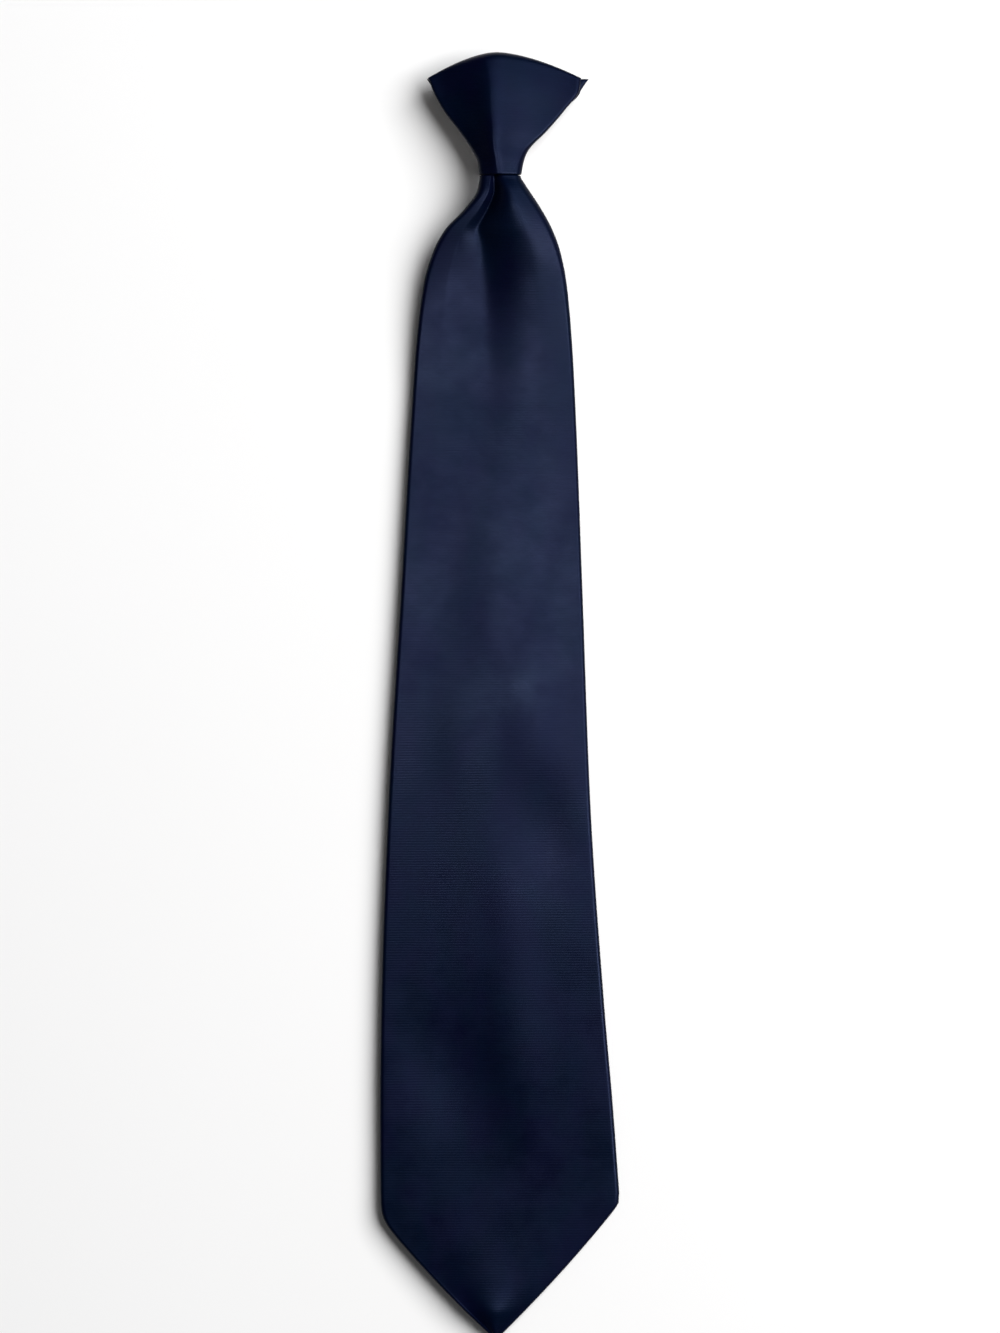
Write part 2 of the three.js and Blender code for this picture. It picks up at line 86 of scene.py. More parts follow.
HOOK_HEIGHT = 2 * HOOK_THICKNESS + COLLAR_SLOT
PANEL_BOTTOM = HOOK_HEIGHT + SEAT_GAP
KNOT_BACK = PANEL_BOTTOM + PANEL_THICKNESS + SEAT_GAP
NECK_BACK = KNOT_BACK + KNOT_WALL + SEAT_GAP
CROWN_Y = TIE_LENGTH / 2
CORNER_Y = CROWN_Y - CROWN_RISE
MOUTH_Y = CROWN_Y - KNOT_LENGTH
POINT_DROP = TIE_LENGTH - KNOT_LENGTH
SHOULDER_DROP = POINT_DROP - POINT_LENGTH_RIGHT
LOW_SHOULDER_DROP = POINT_DROP - POINT_LENGTH_LEFT
POINT_DOWN = POINT_DROP / SHOULDER_DROP
NECK_WIDTH = MOUTH_WIDTH - 2 * (KNOT_WALL + SEAT_GAP)
NECK_EDGE = MOUTH_EDGE - 2 * (KNOT_WALL + SEAT_GAP)

# Cloth of the blade
CLOTH = 0.95  # shell fabric with its interlining
THIN_EDGE_SHARE = 0.3  # the cloth is thinner where it would be more than these shares of the blade's
THIN_WIDTH_SHARE = 0.2  # edge and width
LEAST_LAYERS = 2.2  # the front stays at least this many cloths above the blade's back
FLAP_OVER = 3  # the outer flap reaches this far past the seam
FLAP_UNDER = 6  # and the inner flap, which it covers, this far the other way
FLAP_RISE = 4  # length over which the inner flap steps up to lie on the outer one
FLAP_CLEARANCE = 0.15  # between the two flaps
FULL_LAP_WIDTH = BLADE_WIDTH / 2  # where the point is narrower, the flaps reach less far
FULL_RELIEF_WIDTH = BLADE_WIDTH / 4  # and where it is narrower than this, the front's relief is lower
EDGE_LIFT = 2.8  # the left fold lies this far off the floor
LIFT_START = 0.05  # this lift sets in between these shares of the way down
LIFT_FULL = 0.16
LIFT_REACH = 0.6  # and fades out over this share of the width
POINT_CURL = 2.6  # the point lies this far off the floor
CURL_START = 0.93  # and curls up from this share of the way down to the right shoulder
RIGHT_LOBE_ROUNDING = 0.2  # how much the top of the right lobe is rounded, as a share of its fall's width
LEFT_LOBE_CURVE = 1.2  # 1 slopes straight from the left lobe to the dimple's floor, more arches above it
DIMPLE_ROUNDING_TOP = 0.4  # the dimple's floor is rounded by this much under the knot
DIMPLE_ROUNDING = 1.0  # and by this much further down
DIMPLE_ROUNDING_START = 0.03  # the one goes over into the other between these shares of the way down
DIMPLE_ROUNDING_FULL = 0.12
SHALLOW_PARTS = 6  # and where it is shallow, by its whole depth over this
TINY = 1e-6  # keeps the rounding above zero where the dimple ends
RIDGE_PLACE = 0.49  # where the ridge down the front runs, as a share of the way across
RIDGE_ROUNDING = 0.2

# Cloth of the knot
CREASE_SOFTNESS = 2.2  # how far the crease down the knot is rounded
MOUTH_SOFTNESS_SHARE = 0.6  # and at the mouth by this share of that
FACET_HOLLOW = 1.6  # how far the facets beside the crease are drawn in
LEFT_HOLLOW_SHARE = 0.7  # the left facet is drawn in by this share of that
CROWN_SQUARE = 0.75  # 1 rolls the crown in a quarter circle, less rolls it tighter
CROWN_PEAK = 0.45  # where the crown is highest, as a share of the way across
CROWN_CURVE = 0.8  # 1 gives its two sides the curve of a parabola, less draws them straighter
CROWN_ROUNDING = 0.004
CROWN_FADE = 1.5  # the crown's curve dies away down the knot, the sooner the more this is
HEM_LIFT = 1.5  # the hem turns in this far above the end of its solid
SLANT = 1.15  # the cloth of the slanting sides, measured straight across the knot, in cloths

# The blade from the mouth (down 0) to its right shoulder (down 1). Its sides are shares of the width out
# from the middle line, and edge, dome and lift are shares of BLADE_EDGE, BLADE_DOME and NECK_BACK. The
# dome is an arch where crease is 0 and a ridge where it is 1.
BLADE_ROWS = {
    "down": (0, 0.012, 0.03, 0.05, 0.07, 0.1, 0.16, 0.22, 0.41, 0.61, 0.81, 0.905, 1),
    "left": (0.082, 0.092, 0.145, 0.227, 0.275, 0.315, 0.348, 0.366, 0.414, 0.465, 0.495, 0.5, 0.498),
    "right": (0.09, 0.124, 0.175, 0.222, 0.254, 0.281, 0.305, 0.319, 0.35, 0.382, 0.441, 0.476, 0.506),
    "edge": (1.7, 1.75, 1.65, 1.5, 1.35, 1.2, 1.05, 1, 1, 1, 1, 1, 1),
    "dome": (0, 0, 0.1, 0.2, 0.35, 0.55, 0.8, 0.9, 1, 0.9, 0.7, 0.6, 0.6),
    "crease": (0, 0, 0, 0, 0, 0, 0.1, 0.4, 0.6, 0.3, 0, 0, 0),
    "lift": (1, 0.98, 0.9, 0.76, 0.6, 0.38, 0.1, 0, 0, 0, 0, 0, 0),
}

# The dimple: where its floor and the tops of its two lobes run, as shares of the way across the front, and
# their depth and heights in millimetres
DIMPLE_ROWS = {
    "down": (0, 0.012, 0.031, 0.046, 0.062, 0.1, 0.15, 0.22, 0.32),
    "floor": (0.25, 0.25, 0.25, 0.26, 0.35, 0.425, 0.455, 0.475, 0.48),
    "left": (0.12, 0.1, 0.12, 0.13, 0.14, 0.14, 0.14, 0.14, 0.14),
    "right": (0.62, 0.66, 0.68, 0.73, 0.76, 0.78, 0.79, 0.8, 0.82),
    "deep": (1.3, 2.2, 2.8, 2.8, 2.4, 1.7, 0.95, 0.4, 0),
    "high_left": (0, 0.4, 0.5, 0.4, 0.3, 0.2, 0.1, 0, 0),
    "high_right": (0.8, 2.5, 3.7, 3.7, 3.3, 2.1, 1.2, 0.4, 0),
}

# Soft swells and dents: middle (down, across), half sizes (long, wide) and rise as a share of BLADE_DOME
SWELLS = (
    {"down": 0.41, "across": 0.56, "long": 0.11, "wide": 0.22, "rise": 0.5},
    {"down": 0.547, "across": 0.84, "long": 0.055, "wide": 0.22, "rise": 1.2},
    {"down": 0.547, "across": 0.33, "long": 0.055, "wide": 0.16, "rise": 0.35},
    {"down": 0.635, "across": 0.88, "long": 0.055, "wide": 0.2, "rise": -1.2},
    {"down": 0.753, "across": 0.6, "long": 0.1, "wide": 0.12, "rise": 0.35},
    {"down": 0.872, "across": 0.25, "long": 0.065, "wide": 0.24, "rise": -1.3},
    {"down": 0.875, "across": 0.6, "long": 0.06, "wide": 0.14, "rise": 0.5},
    {"down": 1.12, "across": 0.39, "long": 0.1, "wide": 0.45, "rise": 1.3},
)

# The knot from its corners (down 0) to its mouth (down 1). Left and right are shares of the way out from
# the mouth's sides to the corners, crease a share of the way across, depth a share of KNOT_DEPTH, and
# mouth is 1 where its edge is as high as the mouth's.
KNOT_ROWS = {
    "down": (0, 0.13, 0.33, 0.53, 0.73, 0.83, 1),
    "left": (1, 0.91, 0.7, 0.4, 0.14, 0.045, 0),
    "right": (1, 0.98, 0.74, 0.455, 0.147, 0.08, 0.03),
    "crease": (0.37, 0.378, 0.388, 0.378, 0.378, 0.39, 0.46),
    "depth": (0.86, 0.95, 1, 1, 0.96, 0.91, 0.83),
    "mouth": (0, 0.05, 0.15, 0.4, 0.8, 0.95, 1),
}


# Curves


def monotone(xs, ys):
    """A smooth curve through points that makes no wave between them, held at its ends."""
    xs, ys = np.asarray(xs, float), np.asarray(ys, float)
    run, rise = np.diff(xs), np.diff(ys)
    slope = rise / run
    tangent = np.zeros_like(ys)
    same = slope[:-1] * slope[1:] > 0
    near, far = 2 * run[1:] + run[:-1], run[1:] + 2 * run[:-1]
    safe = np.where(same, slope[:-1] * slope[1:], 1)
    mean = (near + far) / (near * slope[1:] + far * slope[:-1] + np.where(same, 0, 1)) * safe
    tangent[1:-1] = np.where(same, mean, 0)
    tangent[0], tangent[-1] = slope[0], slope[-1]

    def curve(x):
        x = np.clip(x, xs[0], xs[-1])
        i = np.clip(np.searchsorted(xs, x, side="right") - 1, 0, len(run) - 1)
        h = run[i]
        s = (x - xs[i]) / h
        return (
            ys[i] * (1 + 2 * s) * (1 - s) ** 2
            + tangent[i] * h * s * (1 - s) ** 2
            + ys[i + 1] * s**2 * (3 - 2 * s)
            + tangent[i + 1] * h * s**2 * (s - 1)
        )

    return curve


def curves(rows):
    return {name: monotone(rows["down"], values) for name, values in rows.items() if name != "down"}


blade, dimple, knot = curves(BLADE_ROWS), curves(DIMPLE_ROWS), curves(KNOT_ROWS)


def smooth(x, low, high):
    """From 0 at low to 1 at high, with level ends."""
    s = np.clip((x - low) / (high - low), 0, 1)
    return s * s * (3 - 2 * s)


def mix(a, b, share):
    return a + (b - a) * share


def bowed(depth, share):
    """0 at both ends and depth half way between them."""
    return 4 * depth * share * (1 - share)


def rounded_fall(share, rounding):
    """From 1 down to 0 in a line that starts level and is straight after its rounding."""
    return 1 - (np.hypot(share, rounding) - rounding) / (np.hypot(1, rounding) - rounding)


# Meshes


def mesh_object(name, points, faces, coords=None):
    mesh = bpy.data.meshes.new(name)
    mesh.from_pydata(points.tolist(), [], [tuple(int(i) for i in face) for face in faces])
    mesh.polygons.foreach_set("use_smooth", [True] * len(mesh.polygons))
    if coords is not None:
        loops = np.empty(len(mesh.loops), int)
        mesh.loops.foreach_get("vertex_index", loops)
        mesh.uv_layers.new(name="cloth").data.foreach_set("uv", coords[loops].ravel())
    piece = bpy.data.objects.new(name, mesh)
    bpy.context.scene.collection.objects.link(piece)
    return piece


def grid_faces(index, flip=False):
    """Faces between the rows and columns of a grid of point numbers."""
    a, b, c, d = index[:-1, :-1], index[1:, :-1], index[1:, 1:], index[:-1, 1:]
    corners = (a, d, c, b) if flip else (a, b, c, d)
    return np.stack(corners, -1).reshape(-1, 4)


def tube_faces(loops):
    """Point numbers of a stack of closed rows, and the faces between the rows."""
    rows, around = loops.shape[:2]
    index = np.arange(rows * around).reshape(rows, around)
    after = np.roll(index, -1, 1)
    faces = np.stack([index[:-1], index[1:], after[1:], after[:-1]], -1)
    return index, faces.reshape(-1, 4)


def cloth_mesh(name, outer, inner, uv):
    """A skin with a wall: outer and inner are rows of points in millimetres, joined round all four sides."""
    rows, across = outer.shape[:2]
    points = np.concatenate([outer.reshape(-1, 3), inner.reshape(-1, 3)]) * MM
    over = np.arange(rows * across).reshape(rows, across)
    under = over + rows * across
    faces = [grid_faces(over), grid_faces(under, flip=True)]
    for top, low in (
        (over[0], under[0]),
        (over[-1][::-1], under[-1][::-1]),
        (over[::-1, 0], under[::-1, 0]),
        (over[:, -1], under[:, -1]),
    ):
        faces.append(np.stack([top[:-1], top[1:], low[1:], low[:-1]], -1))
    coords = np.concatenate([uv.reshape(-1, 2), uv.reshape(-1, 2)]) * MM
    return mesh_object(name, points, np.concatenate(faces), coords)


def recalculated(piece, merge=None):
    """Faces turned out, and points within merge millimetres of each other joined."""
    bm = bmesh.new()
    bm.from_mesh(piece.data)
    if merge:
        bmesh.ops.remove_doubles(bm, verts=bm.verts, dist=merge * MM)
    bmesh.ops.recalc_face_normals(bm, faces=bm.faces)
    bm.to_mesh(piece.data)
    bm.free()
    return piece


def roll_radius(half_edge, width):
    """Radius of a rolled side: half the height of its edge, and at most a third of the width."""
    return np.minimum(half_edge, width / 3)


# Blade


def neck_share(drop):
    """1 on the neck inside the knot, 0 on the blade below it."""
    return 1 - smooth(drop + HEM_LIFT, SEAT_GAP, NECK_FLARE)


def blade_sides(drop):
    """The blade's two sides at distances below the mouth, with its shoulders and point."""
    down = np.clip(drop / SHOULDER_DROP, 0, 1)
    sides = []
    for name, out, length, bow, ease in (
        ("left", -1, POINT_LENGTH_LEFT, POINT_BOW_LEFT, SHOULDER_EASE_LEFT),
        ("right", 1, POINT_LENGTH_RIGHT, POINT_BOW_RIGHT, SHOULDER_EASE_RIGHT),
    ):
        past = drop - (POINT_DROP - length)
        past = np.minimum(np.logaddexp(0, past / ease) * ease / length, 1)
        end = POINT_OFFSET + out * POINT_BLUNTNESS / 2
        side = mix(out * BLADE_WIDTH * blade[name](down), end, past) + bowed(out * bow, past)
        sides.append(mix(side, out * NECK_WIDTH / 2, neck_share(drop)))
    return sides


def dimple_relief(down, t, fold):
    """A low lobe on the left that slopes to the floor of the dimple, and a steep wall up to a high one.
    Both lobes roll over into the side folds, which reach the share fold past the front."""
    floor, left, right = dimple["floor"](down), dimple["left"](down), dimple["right"](down)
    deep, low_lobe, high_lobe = dimple["deep"](down), dimple["high_left"](down), dimple["high_right"](down)
    outside_left = low_lobe * np.sqrt(1 - np.clip((left - t) / (left + fold), 0, 1) ** 2)
    past = np.clip((t - right) / (1 - right + fold), 0, 1)
    outside_right = high_lobe * rounded_fall(past, RIGHT_LOBE_ROUNDING)
    slope = mix(low_lobe, -deep, np.clip((t - left) / (floor - left), 0, 2) ** LEFT_LOBE_CURVE)
    wall = mix(-deep, high_lobe, np.sin(np.clip((t - floor) / (right - floor), -1, 1) * math.pi / 2))
    below = smooth(down, DIMPLE_ROUNDING_START, DIMPLE_ROUNDING_FULL)
    rounding = mix(DIMPLE_ROUNDING_TOP, DIMPLE_ROUNDING, below)
    rounding = np.minimum(rounding, (deep + high_lobe) / SHALLOW_PARTS) + TINY
    inside = np.logaddexp(slope / rounding, wall / rounding) * rounding
    return np.where(t < left, outside_left, np.where(t > right, outside_right, inside))


def blade_relief(down, t, fold):
    """Height of the blade's front over its side folds."""
    relief = dimple_relief(down, t, fold)
    t = np.clip(t, 0, 1)
    arch = 1 - (2 * t - 1) ** 2
    ridge = 1 - np.sqrt((2 * t - 2 * RIDGE_PLACE) ** 2 + RIDGE_ROUNDING**2)
    relief = relief + BLADE_DOME * blade["dome"](down) * mix(arch, ridge, blade["crease"](down))
    held = np.sin(t * math.pi)
    for swell in SWELLS:
        along = (down - swell["down"]) / swell["long"]
        over = (t - swell["across"]) / swell["wide"]
        relief = relief + held * BLADE_DOME * swell["rise"] * np.exp(-(along**2) - over**2)
    return relief


def stations(neck_rows=8, body_rows=150, shoulder_rows=4, point_rows=34, crowding=1.5):
    """Distances below the mouth of the blade's rows, crowded towards the knot and the point."""
    start = SEAT_GAP - HEM_LIFT
    neck = np.linspace(-NECK_TUCK, start, neck_rows, endpoint=False)
    body = start + (SHOULDER_DROP - start) * np.linspace(0, 1, body_rows, endpoint=False) ** crowding
    shoulders = np.linspace(SHOULDER_DROP, LOW_SHOULDER_DROP, shoulder_rows, endpoint=False)
    point = np.linspace(LOW_SHOULDER_DROP, POINT_DROP, point_rows)
    return np.concatenate([neck, body, shoulders, point])


def make_blade(back=34, fold=15, front=90):
    """One strip of cloth that starts at the seam, goes round the left fold, over the front and round the
    right fold, and laps over its own start down the middle of the back."""
    drops = stations()[:, None]
    # Shares of the way down to the right shoulder: far goes on past 1 to the point, down stays at 1
    far = drops / SHOULDER_DROP
    down = np.clip(far, 0, 1)
    left, right = blade_sides(drops)
    width = right - left
    edge = mix(BLADE_EDGE * blade["edge"](down), NECK_EDGE, neck_share(drops))
    roll = roll_radius(edge / 2, width)
    curl = POINT_CURL * np.maximum(0, (far - CURL_START) / (POINT_DOWN - CURL_START)) ** 2
    base = NECK_BACK * blade["lift"](down) + curl
    middle = base + edge / 2
    held = np.where(drops < SHOULDER_DROP, 1, np.minimum(1, width / FULL_RELIEF_WIDTH))
    seam = (left + right) / 2
    lap = np.minimum(1, width / FULL_LAP_WIDTH)
    wall = np.minimum(CLOTH, np.minimum(edge * THIN_EDGE_SHARE, width * THIN_WIDTH_SHARE))

    turn = np.linspace(0, math.pi, fold + 2)[None, 1:-1]
    over = np.linspace(0, 1, front)[None, :]
    run = np.linspace(0, 1, back)[None, :]
    share = roll / (width - 2 * roll)
    outer_flap_end = seam - FLAP_OVER * lap

    # Points across and up, round the tie: inner flap, left fold, front, right fold, outer flap
    inner_flap = mix(seam + FLAP_UNDER * lap, left + roll, run)
    climb = smooth(inner_flap, seam - (FLAP_OVER + FLAP_RISE) * lap, outer_flap_end)
    parts = [(inner_flap, base + climb * (wall + FLAP_CLEARANCE))]
    relief = held * blade_relief(far, -share * np.sin(turn), share) * (turn > math.pi / 2)
    parts.append((left + roll - roll * np.sin(turn), middle - edge / 2 * np.cos(turn) + relief))
    relief = held * blade_relief(far, over, share)
    relief = np.maximum(relief, -edge + LEAST_LAYERS * wall)
    parts.append((mix(left + roll, right - roll, over), middle + edge / 2 + relief))
    relief = held * blade_relief(far, 1 + share * np.sin(turn), share) * (turn < math.pi / 2)
    parts.append((right - roll + roll * np.sin(turn), middle + edge / 2 * np.cos(turn) + relief))
    outer_flap = mix(right - roll, outer_flap_end, run)
    parts.append((outer_flap, base + 0 * outer_flap))

    xs = np.concatenate([part[0] for part in parts], 1)
    zs = np.concatenate([part[1] for part in parts], 1)
    near_left = np.clip(1 - (xs - left) / (LIFT_REACH * width), 0, 1)
    zs = zs + EDGE_LIFT * smooth(down, LIFT_START, LIFT_FULL) * held * near_left**2
    dx, dz = np.gradient(xs, axis=1), np.gradient(zs, axis=1)
    size = np.hypot(dx, dz)
    normal_x, normal_z = -dz / size, dx / size
    ys = np.repeat(MOUTH_Y - drops, xs.shape[1], 1)
    outer = np.stack([xs, ys, zs], -1)
    inner = np.stack([xs - wall * normal_x, ys, zs - wall * normal_z], -1)

    # The weave runs along the strip, from the middle of the front both ways
    steps = np.hypot(np.diff(xs), np.diff(zs))
    lengths = np.concatenate([np.zeros((len(xs), 1)), np.cumsum(steps, 1)], 1)
    centre = back + fold + front // 2
    uv = np.stack([lengths - lengths[:, centre : centre + 1], ys], -1)
    return recalculated(cloth_mesh("blade_cloth", outer, inner, uv))


# Knot


def knot_sides(share):
    """The knot's two sides, from its corners (share 0) to its mouth (share 1)."""
    reach = (KNOT_WIDTH - MOUTH_WIDTH) / 2
    left = -MOUTH_WIDTH / 2 - (reach - KNOT_LEAN) * knot["left"](share)
    right = MOUTH_WIDTH / 2 + (reach + KNOT_LEAN) * knot["right"](share)
    return left, right


def crown_rise(across):
    """Height of the crown over the corners."""
    left_of_peak = 1 - across / CROWN_PEAK
    right_of_peak = (across - CROWN_PEAK) / (1 - CROWN_PEAK)
    off = np.where(across < CROWN_PEAK, left_of_peak, right_of_peak)
    return CROWN_RISE * (1 - (off**2 + CROWN_ROUNDING) ** CROWN_CURVE)


def edge_arc(x, radius):
    """Height of a round edge over its middle, x in from its side."""
    return np.sqrt(np.maximum(0, radius**2 - (radius - np.minimum(x, radius)) ** 2))


def flank(x, radius, crest_x, crest_z):
    """Height over the middle of a side: a round edge, then a straight line up to the crest. Also says
    where the line starts."""
    away = crest_x - radius
    slope = np.arctan2(crest_z, away) - np.arcsin(np.clip(radius / np.hypot(away, crest_z), 0, 1))
    meet = radius * (1 - np.sin(slope))
    line = radius * np.cos(slope) + (x - meet) * np.tan(slope)
    return np.where(x < meet, edge_arc(x, radius), line), meet


def knot_loop(down, turned, inset, across, fold):
    """Closed rows round the knot, front from left to right and back from right to left."""
    drop = CORNER_Y - MOUTH_Y
    rise = np.sin(turned * math.pi / 2) ** CROWN_SQUARE
    curl = 1 - np.cos(turned * math.pi / 2) ** CROWN_SQUARE

    def level(top, radius):
        return top - inset - radius * curl - down * (drop - inset - HEM_LIFT - radius)

    share = np.minimum(1, (CORNER_Y - level(CORNER_Y, KNOT_EDGE / 2 - inset)) / drop)
    left, right = knot_sides(share)
    left, right = left + inset * SLANT, right - inset * SLANT
    full_edge = mix(KNOT_EDGE, MOUTH_EDGE, knot["mouth"](share))
    half = full_edge / 2 - inset
    width = right - left
    radius = roll_radius(half, width)
    crest = half + np.maximum(0, KNOT_DEPTH * knot["depth"](share) - full_edge)
    middle = KNOT_BACK + full_edge / 2
    crease = knot["crease"](share) * width

    # Places across: close together round the two edges, even between them
    _, meet_left = flank(0 * width, radius, crease, crest)
    _, meet_right = flank(0 * width, radius, width - crease, crest)
    turn = np.linspace(0, 1, fold + 1)[None, :-1]
    end_left = np.arccos(1 - meet_left / radius)
    end_right = np.arccos(1 - meet_right / radius)
    edge_left = radius * (1 - np.cos(turn * end_left))
    between = mix(meet_left, width - meet_right, np.linspace(0, 1, across)[None, :])
    edge_right = width - radius * (1 - np.cos(turn * end_right))[:, ::-1]
    xs = np.concatenate([edge_left, between, edge_right], 1)

    on_left, _ = flank(xs, radius, crease, crest)
    on_right, _ = flank(width - xs, radius, width - crease, crest)
    hollow = FACET_HOLLOW * np.minimum(1, width / KNOT_WIDTH)
    on_left = on_left - bowed(hollow * LEFT_HOLLOW_SHARE, np.clip(xs / crease, 0, 1))
    on_right = on_right - bowed(hollow, np.clip((width - xs) / (width - crease), 0, 1))
    soft = CREASE_SOFTNESS * mix(1, MOUTH_SOFTNESS_SHARE, share)
    over = -soft * np.log(np.exp(-on_left / soft) + np.exp(-on_right / soft))
    over = np.maximum(over, 0)
    under = edge_arc(np.minimum(xs, width - xs), radius)
    roll = np.minimum(CROWN_ROLL, (half + over) / 2)
    ys = level(CORNER_Y + crown_rise(xs / width) * (1 - down) ** CROWN_FADE, roll)
    front = np.stack([left + xs, ys, middle + rise * over], -1)
    rear = np.stack([left + xs, ys, middle - rise * under], -1)[:, ::-1]
    return np.concatenate([front, rear], 1)


def make_knot(across=110, fold=6, along=84, crown=9, hem=6):
    """A wrap of cloth that is rolled in along the crown and turned in at the mouth."""
    turned = np.concatenate([np.linspace(0, 1, crown, endpoint=False), np.ones(along)])[:, None]
    down = np.concatenate([np.zeros(crown), np.linspace(0, 1, along)])[:, None]
    outer = knot_loop(down, turned, 0, across, fold)
    inner = knot_loop(down, turned, CLOTH, across, fold)
    loops = list(outer)
    # The hem at the mouth turns in round half the wall.
    for angle in np.linspace(0, math.pi, hem + 1)[1:-1]:
        row = mix(outer[-1], inner[-1], (1 - math.cos(angle)) / 2)
        loops.append(row - np.array([0, math.sin(angle) * CLOTH / 2, 0]))
    loops += list(inner[::-1])
    loops = np.array(loops)
    coords = loops[..., :2].reshape(-1, 2) * MM
    _, faces = tube_faces(loops)
    piece = mesh_object("knot_cloth", loops.reshape(-1, 3) * MM, faces, coords)
    return recalculated(piece, merge=0.002)


# Wing panel

PANEL_FIRST = 0.12  # the panel's even rows, as shares of the way from the knot's corners to its mouth
PANEL_LAST = 0.85
BEAK_END = 0.3  # the panel shows beside the knot down to this share
CORNER_INSET = KNOT_WIDTH / 10  # the top row starts this far in from the knot's corners
ROUND_SHARE = 1 / 12  # each row is rounded at both ends over this share of the way across
ROUND_END_SHARE = 0.3  # where it is this share as thick as in the middle
TOP_ROW_SHARE = 0.35  # the top row is this share as thick as the panel
THICKER_SHARE = 0.3  # and each row below it is thicker by this share
LAST_ROWS_SHARE = 0.8  # the two lowest rows are this share as thick as the panel


def make_panel(even_rows=24, tip_rows=4, across=40):
    """Cloth over a flat fan, thin at its two points."""
    corner_left, corner_right = knot_sides(np.array(0.0))
    downs = np.linspace(PANEL_FIRST, PANEL_LAST, even_rows)
    left, right = knot_sides(downs)
    levels = mix(CORNER_Y, MOUTH_Y, downs)
    tip_left, tip_right = corner_left - WING_REACH_LEFT, corner_right + WING_REACH_RIGHT
    tip_level = CORNER_Y - WING_DROP
    rows = [(corner_left + CORNER_INSET, corner_right - CORNER_INSET, CORNER_Y)]
    for s in np.arange(tip_rows) / tip_rows:
        a = mix(tip_left, left[0] + PANEL_INSET, s)
        b = mix(tip_right, right[0] + BEAK, s)
        rows.append((a, b, mix(tip_level, levels[0], s)))
    shown = (PANEL_INSET + BEAK) * (1 - smooth(downs, PANEL_FIRST, BEAK_END))
    rows += list(zip(left + PANEL_INSET, right - PANEL_INSET + shown, levels))

    share = np.linspace(0, 1, across)
    near_end = np.minimum(share, 1 - share)
    rounded = np.where(near_end > ROUND_SHARE, 1, np.sin(near_end / ROUND_SHARE * math.pi / 2))
    middle = PANEL_BOTTOM + PANEL_THICKNESS / 2
    top, low = [], []
    for i, (a, b, y) in enumerate(rows):
        thick = min(1, TOP_ROW_SHARE + THICKER_SHARE * i) * (1 if i < len(rows) - 2 else LAST_ROWS_SHARE)
        half = PANEL_THICKNESS / 2 * thick * np.maximum(ROUND_END_SHARE, rounded)
        x = mix(a, b, share)
        top.append(np.stack([x, np.full(across, y), middle + half], -1))
        low.append(np.stack([x, np.full(across, y), middle - half], -1))
    top, low = np.array(top), np.array(low)
    return recalculated(cloth_mesh("wing_panel_cloth", top, low, top[..., :2]))


# Hook

STRIP_END_SHARE = 0.8  # the strip's two ends are this share as thick as the rest


def eased_section(half, half_wall, steps=3):
    """The strip's section, across and through it, with its four edges eased."""
    section = []
    for side_x, side_n in ((1, 1), (-1, 1), (-1, -1), (1, -1)):
        for k in range(steps + 1):
            angle = (k / steps) * math.pi / 2
            shares = (math.sin(angle), math.cos(angle))
            if side_x * side_n < 0:
                shares = shares[::-1]
            x = side_x * (half - HOOK_EASE * (1 - shares[0]))
            section.append((x, side_n * (half_wall - HOOK_EASE * (1 - shares[1]))))
    return section


def make_hook(prong_rows=24, bend_rows=16, plate_rows=8):
    """A strip bent into a hairpin, with eased edges."""
    outer = HOOK_HEIGHT / 2
    bend = (COLLAR_SLOT / 2 + outer) / 2
    prong = np.linspace(-PRONG_LENGTH, 0, prong_rows, endpoint=False)
    line = [(y, outer - bend) for y in prong]
    for angle in np.linspace(0, math.pi, bend_rows, endpoint=False):
        line.append((bend * math.sin(angle), outer - bend * math.cos(angle)))
    line += [(y, outer + bend) for y in np.linspace(0, -PLATE_LENGTH, plate_rows)]
    line = np.array(line)
    step = np.gradient(line, axis=0)
    step /= np.hypot(step[:, 0], step[:, 1])[:, None]
    through = np.stack([-step[:, 1], step[:, 0]], -1)
    bend_y = CROWN_Y - HOOK_SETBACK - HOOK_HEIGHT / 2
    last = len(line) - 1
    loops = []
    for i, ((y, z), (ny, nz)) in enumerate(zip(line, through)):
        half = HOOK_WIDTH / 2
        into_corner = PRONG_CORNER - PRONG_LENGTH - y if z < outer else 0
        if into_corner > 0:
            half -= PRONG_CORNER - math.sqrt(max(0, PRONG_CORNER**2 - into_corner**2))
        half_wall = HOOK_THICKNESS / 2 * (STRIP_END_SHARE if i in (0, last) else 1)
        section = eased_section(half, half_wall)
        loops.append([(a, y + ny * b + bend_y, z + nz * b) for a, b in section])
    loops = np.array(loops)
    index, faces = tube_faces(loops)
    faces = [tuple(face) for face in faces] + [tuple(index[0]), tuple(index[-1][::-1])]
    return recalculated(mesh_object("hook_strip", loops.reshape(-1, 3) * MM, faces))


# Materials

RIB = 0.9  # millimetres from rib to rib of the satin
RIB_STRAY = 0.35  # the ribs stray by up to this share of that
WARP = 0.34  # millimetres from warp thread to warp thread
WEAVE_DEPTH = 0.0001  # metres
WEAVE_STRENGTH = 0.22
BRUSH_DEPTH = 0.00003  # metres
BRUSH_STRENGTH = 0.12

# The darkest and the lightest shade of each colour
TEAL = ((0.0001, 0.0012, 0.0055, 1), (0.0003, 0.0032, 0.013, 1))
VIOLET = ((0.0005, 0.0007, 0.006, 1), (0.0011, 0.0019, 0.014, 1))
STEEL = ((0.56, 0.57, 0.6, 1), (0.66, 0.67, 0.69, 1))
FLOOR_WHITE = ((0.86, 0.86, 0.86, 1), (0.88, 0.88, 0.885, 1))
GLOSS_TINT = (0.29, 0.43, 1.0, 1)

